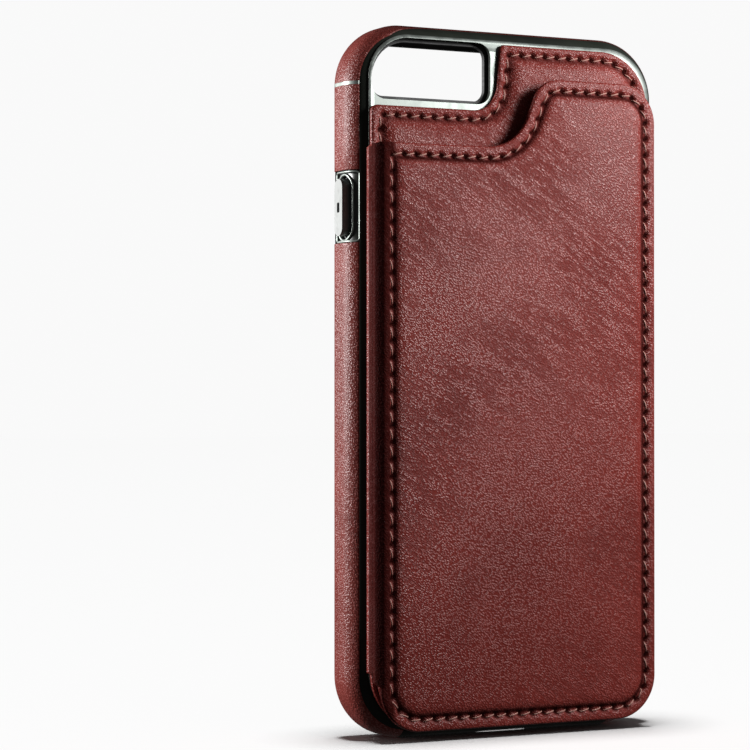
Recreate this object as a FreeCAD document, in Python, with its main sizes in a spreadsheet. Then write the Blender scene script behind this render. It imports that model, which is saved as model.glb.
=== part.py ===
import FreeCAD, Part

import os

import Sketcher

# Phone wallet case: a two-part shell that grips a phone, with a card wallet on its back.
#
# Frame, in millimetres. The case stands upright: +Z is up, +X is to the right when the
# wallet faces the viewer, and the wallet faces -Y. X = 0 is the middle of the case,
# Z = 0 its bottom edge, and Y = 0 the plane of the phone's back. The wallet's spine is
# at -X and its free edge at +X.

DIMENSIONS = {
    # hard outer frame
    "frame_half_width": 35.65,
    "frame_height": 142.65,
    "corner_round": 12.35,
    "shell_back": 2.2,
    "shell_front": 8.2,
    "back_edge_round": 4.5,
    "front_edge_round": 3.0,
    "frame_wall": 1.3,
    "frame_back_plate": 1.2,
    "fit_gap": 0.02,
    # soft inner tray
    "tray_wall": 0.7,
    "phone_edge_round": 2.4,
    "phone_depth": 7.15,
    "lip_overlap": 1.3,
    "lip_band_start": 6.65,
    # leather strip let into the frame's sides
    "strip_proud": 0.15,
    "strip_depth": 0.6,
    "strip_back": 1.3,
    "strip_front": 6.6,
    "bottom_strip_end": 24.0,
    # the strip narrows from its back along the top edge and the volume side's upper corner
    "top_strip_start": 0.6,
    "top_taper_start": -27.0,
    "top_taper_end": -19.0,
    # height of each cut in the strip, power button side
    "power_window_low": 98.7,
    "power_window_high": 113.2,
    "divider_low": 130.1,
    "divider_high": 130.8,
    # height of each cut in the strip, volume side
    "volume_window_low": 85.4,
    "volume_window_high": 126.6,
    "window_reach": 32.0,
    "plate_sunk": 0.85,
    # buttons and the holes round them
    "button_mid_depth": 3.0,
    "button_proud": 0.75,
    "button_inner": 34.05,
    "button_half_width": 1.7,
    "button_gap": 0.7,
    "tray_hole_gap": 0.25,
    "power_low": 100.1,
    "power_high": 111.5,
    "rocker_low": 88.2,
    "rocker_high": 110.6,
    "rocker_lobe": 8.6,
    "rocker_waist_half_width": 1.25,
    "mute_low": 115.7,
    "mute_high": 125.8,
    "mute_half_width": 2.4,
    # openings in the bottom edge
    "port_half_length": 6.4,
    "port_half_width": 2.6,
    "grille_mid": 17.0,
    "grille_half_length": 5.4,
    "grille_half_width": 1.2,
    "port_mid_depth": 3.6,
    # bright trim behind the wallet, and the camera window through it
    "trim_left": -32.3,
    "trim_right": 33.7,
    "trim_low": 4.5,
    "trim_high": 140.5,
    "trim_left_round": 9.2,
    "trim_right_round": 10.4,
    "trim_thickness": 0.3,
    "window_left": -32.25,
    "window_right": -4.15,
    "window_low": 126.85,
    "window_high": 140.3,
    "window_outer_round": 9.2,
    "window_inner_round": 3.6,
    "rim_wall": 0.45,
    "tray_window_step": 0.75,
    # wallet base, fixed to the back of the frame
    "base_left": -32.2,
    "base_right": 32.2,
    "base_low": 2.4,
    "base_step": 126.0,
    "base_high": 139.6,
    "base_step_low_x": -4.0,
    "base_step_high_x": -2.9,
    "base_round": 11.0,
    "base_step_round": 5.5,
    "base_back": 3.4,
    "board_margin": 1.2,
    "board_thickness": 0.45,
    # pockets
    "pocket_sheet": 0.8,
    "pocket_left": -31.2,
    "pocket_right": 31.2,
    "pocket_low": 3.4,
    "pocket_round": 9.0,
    "cash_pocket_high": 108.0,
    "rear_pocket_high": 99.0,
    "front_pocket_high": 90.0,
    # magnetic snaps
    "snap_x": 27.0,
    "snap_low_z": 30.0,
    "snap_high_z": 74.0,
    "snap_radius": 3.2,
    "snap_proud": 0.15,
    # spine strip between the two folds
    "spine_left": -33.0,
    "spine_right": -32.2,
    "spine_start": 3.7,
    "spine_end": 7.0,
    "spine_low": 11.0,
    "spine_high": 117.4,
    # flap
    "flap_left": -31.9,
    "flap_right": 31.5,
    "flap_low": 2.0,
    "flap_step": 118.3,
    "flap_high": 132.6,
    "flap_step_low_x": -1.4,
    "flap_step_high_x": 4.3,
    "flap_top_round": 8.0,
    "flap_bottom_round": 9.0,
    "flap_step_low_round": 10.0,
    "flap_step_high_round": 6.0,
    "flap_front": 8.2,
    "flap_back": 6.2,
    "flap_skin": 0.7,
    "flap_lining": 0.5,
    "flap_hem": 3.4,
    "padding_thickness": 0.4,
    "lining_margin": 0.8,
}

SHEET = "Dimensions"
FAR = 60.0          # reach of a cutting solid beyond the case
TINY = 0.001        # tolerance when faces and edges are picked by place
NODES = {}          # node name -> finished object


class Size:
    """A length that carries its number and the sheet formula it comes from."""

    def __init__(self, number, formula):
        self.number = number
        self.formula = formula

    def _join(self, other, sign, number):
        text = other.formula if isinstance(other, Size) else repr(float(other))
        return Size(number, f"({self.formula} {sign} {text})")

    def __add__(self, other):
        return self._join(other, "+", self.number + value(other))

    def __sub__(self, other):
        return self._join(other, "-", self.number - value(other))

    def __mul__(self, other):
        return self._join(other, "*", self.number * value(other))

    def __neg__(self):
        return Size(-self.number, f"(-1 * {self.formula})")


def value(size):
    """The number behind a Size, or a plain number itself."""
    return size.number if isinstance(size, Size) else float(size)


def fixed(number):
    """A Size that is a plain number, such as the origin or a far reach."""
    return Size(float(number), repr(float(number)))


class Sheet:
    """The driving dimensions, each read as an attribute and given back as a Size."""

    def __init__(self, table):
        self.table = table

    def __getattr__(self, alias):
        return Size(self.table[alias], f"{SHEET}.{alias}")


doc = FreeCAD.newDocument("phone_wallet_case")
spreadsheet = doc.addObject("Spreadsheet::Sheet", SHEET)
for row, (alias, number) in enumerate(DIMENSIONS.items(), start=1):
    spreadsheet.set(f"A{row}", alias.replace("_", " "))
    spreadsheet.set(f"B{row}", str(number))
    spreadsheet.setAlias(f"B{row}", alias)
doc.recompute()
size = Sheet(DIMENSIONS)


def bind(thing, prop, length):
    """Tie a property to its sheet formula."""
    thing.setExpression(prop, length.formula)


# ---------------------------------------------------------------- building blocks

def outline_sketch(body, name, corners, depth):
    """Closed polygon on the XZ plane, set at Y = depth. The sketch's normal is -Y."""
    sketch = body.newObject("Sketcher::SketchObject", name)
    plane = [item for item in body.Origin.OriginFeatures if item.Role == "XZ_Plane"][0]
    sketch.AttachmentSupport = [(plane, "")]
    sketch.MapMode = "FlatFace"
    bind(sketch, "AttachmentOffset.Base.z", -depth)
    points = [FreeCAD.Vector(x.number, z.number, 0) for x, z in corners]
    count = len(points)
    for index in range(count):
        sketch.addGeometry(Part.LineSegment(points[index], points[(index + 1) % count]))
    for index in range(count):
        sketch.addConstraint(Sketcher.Constraint("Coincident", index, 2, (index + 1) % count, 1))
    for index, (x, z) in enumerate(corners):
        for kind, letter, length in (("DistanceX", "x", x), ("DistanceY", "z", z)):
            number = sketch.addConstraint(
                Sketcher.Constraint(kind, -1, 1, index, 1, length.number))
            sketch.renameConstraint(number, f"{letter}{index}")
            bind(sketch, f"Constraints.{letter}{index}", length)
    return sketch


def edges_that(shape, test):
    """Names of the edges whose middle point and end points pass a test."""
    names = []
    for index, edge in enumerate(shape.Edges, start=1):
        if test([vertex.Point for vertex in edge.Vertexes]):
            names.append(f"Edge{index}")
    return names


def add_fillet(body, name, base, radius, test):
    """Round the edges of a body's last feature that pass the test."""
    doc.recompute()
    names = edges_that(base.Shape, test)
    fillet = body.newObject("PartDesign::Fillet", name)
    fillet.Base = (base, names)
    bind(fillet, "Radius", radius)
    return fillet


def plate(name, corners, back, front, rounds):
    """Flat plate with a polygon outline from Y = back to Y = front.

    rounds is a list of (radius, [corner numbers]); corners without a radius stay sharp.
    """
    body = doc.addObject("PartDesign::Body", name)
    sketch = outline_sketch(body, name + "_outline", corners, front)
    feature = body.newObject("PartDesign::Pad", name + "_pad")
    feature.Profile = sketch
    bind(feature, "Length", front - back)
    for order, (radius, numbers) in enumerate(rounds):
        spots = [(corners[number][0].number, corners[number][1].number) for number in numbers]

        def upright_at_spot(ends, spots=spots):
            if len(ends) < 2 or abs(ends[0].y - ends[1].y) < TINY:
                return False
            return any(all(abs(end.x - x) < TINY and abs(end.z - z) < TINY for end in ends)
                       for x, z in spots)

        feature = add_fillet(body, f"{name}_round{order}", feature, radius, upright_at_spot)
    doc.recompute()
    return body


def shell_block(name, offset, back, front, back_round=None, front_round=None):
    """Solid with the case's outline moved out by offset, and its edges rounded."""
    half = size.frame_half_width + offset
    low = -offset if offset.number < 0 else fixed(0)
    high = size.frame_height + offset
    corners = [(-half, low), (half, low), (half, high), (-half, high)]
    body = plate(name, corners, back, front, [(size.corner_round + offset, [0, 1, 2, 3])])
    for depth, radius, side in ((back, back_round, "back"), (front, front_round, "front")):
        if radius is None:
            continue

        def on_face(ends, level=depth.number):
            return all(abs(end.y - level) < TINY for end in ends)

        add_fillet(body, f"{name}_{side}_edge", body.Tip, radius, on_face)
        doc.recompute()
    return body


def box(name, x, y, z):
    """Box between (low, high) pairs of Sizes along X, Y and Z."""
    thing = doc.addObject("Part::Box", name)
    for prop, letter, (low, high) in (("Length", "x", x), ("Width", "y", y), ("Height", "z", z)):
        bind(thing, f"Placement.Base.{letter}", low)
        bind(thing, prop, high - low)
    return thing


def rod(name, along, centre, start, end, radius):
    """Round rod along X, Y or Z from start to end; centre gives the other two places."""
    thing = doc.addObject("Part::Cylinder", name)
    turns = {
        "x": FreeCAD.Rotation(FreeCAD.Vector(0, 1, 0), 90),
        "y": FreeCAD.Rotation(FreeCAD.Vector(1, 0, 0), -90),
        "z": FreeCAD.Rotation(),
    }
    thing.Placement = FreeCAD.Placement(FreeCAD.Vector(), turns[along])
    bind(thing, "Radius", radius)
    bind(thing, "Height", end - start)
    places = dict(centre)
    places[along] = start
    for letter, place in places.items():
        bind(thing, f"Placement.Base.{letter}", place)
    return thing


def fuse(name, parts):
    thing = doc.addObject("Part::MultiFuse", name)
    thing.Shapes = parts
    thing.Refine = True
    return thing


def cut(name, base, *tools):
    """What is left of base once every tool is taken away."""
    thing = doc.addObject("Part::Cut", name)
    thing.Base = base
    thing.Tool = tools[0] if len(tools) == 1 else fuse(name + "_tools", list(tools))
    return thing


def common(name, first, second):
    thing = doc.addObject("Part::Common", name)
    thing.Base = first
    thing.Tool = second
    return thing


def capsule(name, along, long_way, centre, low, high, start, end, half_width):
    """Round-ended bar: it runs from low to high the long way, and start to end along."""
    across = ({"x", "y", "z"} - {along, long_way}).pop()
    span = {
        along: (start, end),
        long_way: (low + half_width, high - half_width),
        across: (centre - half_width, centre + half_width),
    }
    parts = [box(name + "_middle", span["x"], span["y"], span["z"])]
    for order, place in enumerate(span[long_way]):
        ends = {long_way: place, across: centre}
        parts.append(rod(f"{name}_end{order}", along, ends, start, end, half_width))
    return fuse(name, parts)


def finish(node, thing):
    """Name a finished sub-part; its label is its node and file name."""
    thing.Label = node
    NODES[node] = thing


zero = fixed(0)
far = fixed(FAR)
top = fixed(200.0)

# ---------------------------------------------------------------- shell of the case

off_strip = size.strip_proud
off_groove = -size.strip_depth
off_tray = -size.frame_wall
off_phone = -(size.frame_wall + size.tray_wall)

strip_slab_y = (-size.strip_back, size.strip_front)
frame_block = shell_block("frame_block", zero, -size.shell_back, size.shell_front,
                          size.back_edge_round, size.front_edge_round)
strip_block = shell_block("strip_block", off_strip, -(size.shell_back + off_strip),
                          size.shell_front + off_strip,
                          size.back_edge_round + off_strip, size.front_edge_round + off_strip)
groove_block = shell_block("groove_block", off_groove, -(size.shell_back + off_groove),
                           size.shell_front + off_groove,
                           size.back_edge_round + off_groove, size.front_edge_round + off_groove)
tray_back = -(size.shell_back - size.frame_back_plate)
tray_block = shell_block("tray_block", off_tray, tray_back, size.lip_band_start,
                         size.back_edge_round + off_tray)
pocket_in_frame = shell_block("pocket_in_frame", off_tray + size.fit_gap,
                              tray_back - size.fit_gap, far,
                              size.back_edge_round + off_tray + size.fit_gap)
phone_space = shell_block("phone_space", off_phone, zero, size.phone_depth,
                          size.phone_edge_round, size.phone_edge_round)
lip_opening = shell_block("lip_opening", off_phone - size.lip_overlap, size.shell_front * 0.5,
                          far)


def window_block(name, margin, back, front):
    """Solid with the camera window's outline, moved in by margin."""
    left = size.window_left + margin
    right = size.window_right - margin
    low = size.window_low + margin
    high = size.window_high - margin
    corners = [(left, low), (right, low), (right, high), (left, high)]
    rounds = [(size.window_inner_round - margin, [0, 1, 2]),
              (size.window_outer_round - margin, [3])]
    return plate(name, corners, back, front, rounds)


window_hole = window_block("window_hole", size.rim_wall, -far, size.shell_back)

# Cuts in the sides. Each tool reaches from outside the case to just inside its wall.
volume_side = (size.window_reach, far)
power_side = (-far, -size.window_reach)


def side_window(name, x, low, high, margin):
    """Part of one side wall over the strip's width, made smaller all round by margin."""
    region = box(name + "_box", x, (-(size.strip_back - margin), size.strip_front - margin),
                 (low + margin, high - margin))
    return cut(name, region, pocket_in_frame)


def side_slot(name, side, low, high, half_width, inner, outer):
    """Round-ended cut or key in the side wall; side is -1 for power, 1 for volume."""
    start, end = (inner, outer) if side > 0 else (-outer, -inner)
    return capsule(name, "x", "z", size.button_mid_depth, low, high, start, end, half_width)


def bottom_slot(name, middle, half_length, half_width, high):
    return capsule(name, "z", "x", size.port_mid_depth, middle - half_length,
                   middle + half_length, fixed(-5.0), high, half_width)


def bottom_openings(name):
    """Charging port and the two sound openings, cut up through the bottom edge."""
    high = size.frame_wall + size.tray_wall + 2
    return fuse(name, [
        bottom_slot(name + "_port", zero, size.port_half_length, size.port_half_width, high),
        bottom_slot(name + "_left", -size.grille_mid, size.grille_half_length,
                    size.grille_half_width, high),
        bottom_slot(name + "_right", size.grille_mid, size.grille_half_length,
                    size.grille_half_width, high),
    ])


# Wedge that takes the back of the strip away along the top; its slanted face is the taper.
taper_rise = size.top_strip_start + size.strip_back
taper_run = size.top_taper_end - size.top_taper_start
top_taper = doc.addObject("Part::Wedge", "top_taper")
for prop, length in (
        ("Ymin", -size.strip_back - taper_rise), ("Ymax", size.top_strip_start),
        ("Xmin", size.top_taper_start - taper_run), ("X2min", size.top_taper_end),
        ("Xmax", far), ("X2max", far),
        ("Zmin", size.volume_window_high), ("Z2min", size.volume_window_high),
        ("Zmax", top), ("Z2max", top)):
    bind(top_taper, prop, length)

# hard outer frame
strip_ring = cut("strip_ring", strip_block, groove_block)
ring_slab = box("ring_slab", (-far, far), strip_slab_y, (-far, top))
groove_tool = common("groove_tool", strip_ring, ring_slab)
frame_slab = box("frame_slab", (-far, far), (-far, size.strip_front), (-far, top))
frame_rough = common("frame_rough", frame_block, frame_slab)
# the groove stays shallow along the bottom, where the frame is bare between the strips
bottom_land = box("bottom_land", (-size.bottom_strip_end, size.bottom_strip_end),
                  (-far, far), (-far, size.strip_depth + 1))
groove_cut = cut("groove_cut", groove_tool, bottom_land, top_taper)
frame = cut(
    "frame_solid", frame_rough, pocket_in_frame, groove_cut, window_hole,
    side_window("frame_power_window", power_side, size.power_window_low,
                size.power_window_high, zero),
    side_window("frame_volume_window", volume_side, size.volume_window_low,
                size.volume_window_high, zero),
    bottom_openings("frame_bottom"),
)
finish("outer_frame", frame)

# soft inner tray with the lip that holds the phone in
lip_slab = box("lip_slab", (-far, far), (size.lip_band_start, far), (-far, top))
lip_band = common("lip_band", frame_block, lip_slab)
tray_rough = fuse("tray_rough", [tray_block, lip_band])
hole_half = size.button_half_width + size.tray_hole_gap
tray = cut(
    "tray_solid", tray_rough, phone_space, lip_opening,
    window_block("tray_window", size.rim_wall + size.tray_window_step, -far, size.shell_back),
    side_slot("tray_power_hole", -1, size.power_low - size.tray_hole_gap,
              size.power_high + size.tray_hole_gap, hole_half, size.button_inner - 2, far),
    side_slot("tray_volume_hole", 1, size.rocker_low - size.tray_hole_gap,
              size.rocker_high + size.tray_hole_gap, hole_half, size.button_inner - 2, far),
    side_slot("tray_mute_hole", 1, size.mute_low, size.mute_high, size.mute_half_width,
              size.button_inner - 2, far),
    bottom_openings("tray_bottom"),
)
finish("inner_tray", tray)


# leather strips and the bright divider, all lengths of one ring let into the frame
def strip_piece(node, x, z):
    ring = common(node + "_ring", cut(node + "_shell", strip_block, groove_outside), ring_slab)
    region = box(node + "_region", x, (-far, far), z)
    finish(node, common(node + "_solid", ring, region))


groove_outside = shell_block("groove_outside", off_groove + size.fit_gap,
                             -(size.shell_back + off_groove + size.fit_gap),
                             size.shell_front + off_groove + size.fit_gap,
                             size.back_edge_round + off_groove + size.fit_gap,
                             size.front_edge_round + off_groove + size.fit_gap)
left_half = (-far, zero)
strip_piece("power_strip_middle", left_half, (size.power_window_high, size.divider_low))
strip_piece("bright_divider", left_half, (size.divider_low, size.divider_high))

# The long strips turn the bottom corners and end under the case; the top strip covers
# the top edge and both upper corners, and ends lower on the volume side.
strip_piece("power_strip_lower", (-far, -size.bottom_strip_end), (-far, size.power_window_low))
strip_piece("volume_strip_lower", (size.bottom_strip_end, far), (-far, size.volume_window_low))
top_ring = common("top_ring", cut("top_shell", strip_block, groove_outside), ring_slab)
top_left = box("top_left", left_half, (-far, far), (size.divider_high, top))
top_right = box("top_right", (zero, far), (-far, far), (size.volume_window_high, top))
top_length = common("top_length", top_ring, fuse("top_region", [top_left, top_right]))
finish("top_strip", cut("top_strip_solid", top_length, top_taper))

# sunk plates round the buttons
plate_skin_out = shell_block("plate_skin_out", -size.plate_sunk,
                             -(size.shell_back - size.plate_sunk),
                             size.shell_front - size.plate_sunk,
                             size.back_edge_round - size.plate_sunk,
                             size.front_edge_round - size.plate_sunk)
hole_margin = size.button_half_width + size.button_gap


def side_plate(node, side, low, high, holes):
    x = (-far, -size.window_reach) if side < 0 else (size.window_reach, far)
    region = side_window(node + "_region", x, low, high, size.fit_gap)
    finish(node, cut(node + "_solid", common(node + "_sheet", plate_skin_out, region), *holes))


side_plate("power_plate", -1, size.power_window_low, size.power_window_high, [
    side_slot("power_plate_hole", -1, size.power_low - size.button_gap,
              size.power_high + size.button_gap, hole_margin, size.window_reach, far)])
side_plate("volume_plate", 1, size.volume_window_low, size.volume_window_high, [
    side_slot("volume_plate_hole", 1, size.rocker_low - size.button_gap,
              size.rocker_high + size.button_gap, hole_margin, size.window_reach, far),
    side_slot("mute_plate_hole", 1, size.mute_low, size.mute_high, size.mute_half_width,
              size.window_reach, far)])

# keys
key_outer = size.frame_half_width + size.button_proud
power_key = side_slot("power_key", -1, size.power_low, size.power_high,
                      size.button_half_width, size.button_inner, key_outer)
finish("power_button", power_key)
rocker_parts = [
    side_slot("rocker_lower", 1, size.rocker_low, size.rocker_low + size.rocker_lobe,
              size.button_half_width, size.button_inner, key_outer),
    side_slot("rocker_upper", 1, size.rocker_high - size.rocker_lobe, size.rocker_high,
              size.button_half_width, size.button_inner, key_outer),
    side_slot("rocker_waist", 1, size.rocker_low + 1, size.rocker_high - 1,
              size.rocker_waist_half_width, size.button_inner, key_outer),
]
finish("volume_rocker", fuse("rocker_solid", rocker_parts))

# bright trim: a thin skin on the frame's back and its rounded edge, which shows as a rim
# round the camera window and a line round the wallet
trim_corners = [(size.trim_left, size.trim_low), (size.trim_right, size.trim_low),
                (size.trim_right, size.trim_high), (size.trim_left, size.trim_high)]
trim_region = plate("trim_region", trim_corners, -far, zero,
                    [(size.trim_left_round, [0, 3]), (size.trim_right_round, [1, 2])])
trim_over = shell_block("trim_over", size.trim_thickness,
                        -(size.shell_back + size.trim_thickness), size.shell_front,
                        size.back_edge_round + size.trim_thickness)
trim_under = shell_block("trim_under", size.fit_gap, -(size.shell_back + size.fit_gap),
                         far, size.back_edge_round + size.fit_gap)
trim_skin = common("trim_skin", cut("trim_shell", trim_over, trim_under), trim_region)
finish("back_trim", cut("trim_solid", trim_skin, window_hole))

# ---------------------------------------------------------------- wallet base and pockets


def base_plate(name, margin, back, front):
    """Plate with the wallet base's outline, moved in by margin."""
    corners = [
        (size.base_left + margin, size.base_low + margin),
        (size.base_right - margin, size.base_low + margin),
        (size.base_right - margin, size.base_high - margin),
        (size.base_step_high_x + margin, size.base_high - margin),
        (size.base_step_low_x + margin, size.base_step - margin),
        (size.base_left + margin, size.base_step - margin),
    ]
    rounds = [(size.base_round - margin, [0, 1, 2]), (size.base_step_round + margin, [4])]
    return plate(name, corners, back, front, rounds)


glue_line = -(size.shell_back + size.trim_thickness + size.fit_gap)
board_front = glue_line - size.board_thickness
base_skin = base_plate("base_skin", zero, -size.base_back, glue_line)
board_room = base_plate("board_room", size.board_margin, board_front, zero)
finish("base_leather", cut("base_leather_solid", base_skin, board_room))
finish("base_board", base_plate("board", size.board_margin + size.fit_gap,
                                board_front + size.fit_gap, glue_line))


def snap_discs(name, radius, back, front):
    """Two round discs, one above the other, near the wallet's free edge."""
    discs = []
    for order, height in enumerate((size.snap_low_z, size.snap_high_z)):
        centre = {"x": size.snap_x, "z": height}
        discs.append(rod(f"{name}{order}", "y", centre, back, front, radius))
    pair = doc.addObject("Part::Compound", name)
    pair.Links = discs
    return pair


def pocket_sheet(node, layer, high):
    """Pocket wall; layer 0 lies on the base and each next one lies on the last."""
    front = -(size.base_back + size.fit_gap + size.pocket_sheet * layer)
    back = front - size.pocket_sheet + size.fit_gap
    corners = [(size.pocket_left, size.pocket_low), (size.pocket_right, size.pocket_low),
               (size.pocket_right, high), (size.pocket_left, high)]
    return plate(node + "_sheet", corners, back, front, [(size.pocket_round, [0, 1])])


finish("cash_pocket", pocket_sheet("cash_pocket", 0, size.cash_pocket_high))
finish("rear_card_pocket", pocket_sheet("rear_card_pocket", 1, size.rear_pocket_high))
pocket_front = size.base_back + size.pocket_sheet * 3
snap_face = -(pocket_front + size.snap_proud)
snap_holes = snap_discs("pocket_snap_holes", size.snap_radius + size.fit_gap,
                        -far, zero)
front_sheet = pocket_sheet("front_card_pocket", 2, size.front_pocket_high)
finish("front_card_pocket", cut("front_pocket_solid", front_sheet, snap_holes))
finish("pocket_snaps", snap_discs("pocket_snap", size.snap_radius, snap_face,
                                  -(size.base_back + size.pocket_sheet * 2 + size.fit_gap)))

# ---------------------------------------------------------------- spine and flap

finish("spine_strip", box("spine", (size.spine_left, size.spine_right),
                          (-size.spine_end, -size.spine_start),
                          (size.spine_low, size.spine_high)))


def flap_plate(name, margin, back, front):
    """Plate with the flap's outline, moved in by margin; its top edge steps round the lens."""
    corners = [
        (size.flap_left + margin, size.flap_low + margin),
        (size.flap_right - margin, size.flap_low + margin),
        (size.flap_right - margin, size.flap_high - margin),
        (size.flap_step_high_x + margin, size.flap_high - margin),
        (size.flap_step_low_x + margin, size.flap_step - margin),
        (size.flap_left + margin, size.flap_step - margin),
    ]
    rounds = [(size.flap_bottom_round - margin, [0, 1]), (size.flap_top_round - margin, [2]),
              (size.flap_step_high_round - margin, [3]),
              (size.flap_step_low_round + margin, [4])]
    return plate(name, corners, back, front, rounds)


lining_face = -size.flap_back
lining_seat = -(size.flap_back + size.flap_lining)
padding_back = -(size.flap_front - size.flap_skin)
padding_seat = padding_back + size.padding_thickness
flap_skin = flap_plate("flap_skin", zero, -size.flap_front, lining_seat - size.fit_gap)
flap_room = flap_plate("flap_room", size.flap_hem, padding_back, zero)
finish("flap_leather", cut("flap_leather_solid", flap_skin, flap_room))
core_margin = size.flap_hem + size.fit_gap
finish("flap_padding", flap_plate("flap_foam", core_margin, padding_back + size.fit_gap,
                                  padding_seat))
finish("flap_board", flap_plate("flap_stiffener", core_margin, padding_seat + size.fit_gap,
                                lining_seat - size.fit_gap))
lining_sheet = flap_plate("lining_sheet", size.lining_margin, lining_seat, lining_face)
lining_holes = snap_discs("lining_snap_holes", size.snap_radius + size.fit_gap, -far, zero)
finish("flap_lining", cut("flap_lining_solid", lining_sheet, lining_holes))
finish("flap_snaps", snap_discs("flap_snap", size.snap_radius, lining_seat,
                                lining_face + size.snap_proud * 0.5))

# ---------------------------------------------------------------- check and write

doc.recompute()
for thing in doc.Objects:
    if {"Invalid", "Error"} & set(thing.State):
        raise RuntimeError(f"{thing.Name} failed to rebuild: {thing.State}")
for node, thing in NODES.items():
    if thing.Shape.isNull() or not thing.Shape.isValid() or not thing.Shape.Solids:
        raise RuntimeError(f"{node} has no valid solid")

os.makedirs("parts", exist_ok=True)
for node, thing in NODES.items():
    thing.Shape.exportStep(f"parts/{node}.step")
    limits = thing.Shape.BoundBox
    print(f"{node:20s} solids {len(thing.Shape.Solids)}  volume {thing.Shape.Volume:9.1f}  "
          f"x {limits.XMin:7.2f} {limits.XMax:7.2f}  y {limits.YMin:6.2f} {limits.YMax:6.2f}  "
          f"z {limits.ZMin:7.2f} {limits.ZMax:7.2f}")
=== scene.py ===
import math

import bmesh
import bpy
import numpy as np
from mathutils import Matrix, Vector, noise
from mathutils.geometry import delaunay_2d_cdt


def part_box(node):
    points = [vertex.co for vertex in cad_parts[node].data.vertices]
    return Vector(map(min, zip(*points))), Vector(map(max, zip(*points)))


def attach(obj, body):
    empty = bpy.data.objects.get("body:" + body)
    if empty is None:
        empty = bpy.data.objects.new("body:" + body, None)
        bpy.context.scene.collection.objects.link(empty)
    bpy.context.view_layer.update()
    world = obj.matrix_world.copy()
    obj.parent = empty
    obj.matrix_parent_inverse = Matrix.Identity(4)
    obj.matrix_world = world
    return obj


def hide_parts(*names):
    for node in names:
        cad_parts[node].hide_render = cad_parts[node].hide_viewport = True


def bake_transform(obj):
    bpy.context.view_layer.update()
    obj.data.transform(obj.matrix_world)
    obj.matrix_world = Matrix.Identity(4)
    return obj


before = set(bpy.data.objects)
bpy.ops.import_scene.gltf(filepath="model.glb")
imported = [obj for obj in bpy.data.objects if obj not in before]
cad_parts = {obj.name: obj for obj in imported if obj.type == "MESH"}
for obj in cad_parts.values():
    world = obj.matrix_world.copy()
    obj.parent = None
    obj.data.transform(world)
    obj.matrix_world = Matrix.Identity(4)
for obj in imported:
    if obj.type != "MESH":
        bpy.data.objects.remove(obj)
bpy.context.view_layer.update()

# Looks of a phone wallet case. The frame is the CAD frame in metres: +Z up, the wallet faces
# -Y and its spine is at -X. The pieces are worked out in millimetres and made with MM.

MM = 0.001


def limits(node):
    """Lowest and highest corner of a CAD node, in millimetres."""
    low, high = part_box(node)
    return np.array(low) / MM, np.array(high) / MM


def smooth(value, low, high):
    """Smooth step from 0 at low to 1 at high."""
    share = np.clip((value - low) / (high - low), 0.0, 1.0)
    return share * share * (3.0 - 2.0 * share)


BASE_LOW, BASE_HIGH = limits("base_leather")
FLAP_LOW, FLAP_HIGH = limits("flap_leather")
LINING_LOW, LINING_HIGH = limits("flap_lining")
SPINE_LOW, SPINE_HIGH = limits("spine_strip")

# ------------------------------------------------------------------ outlines


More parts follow.
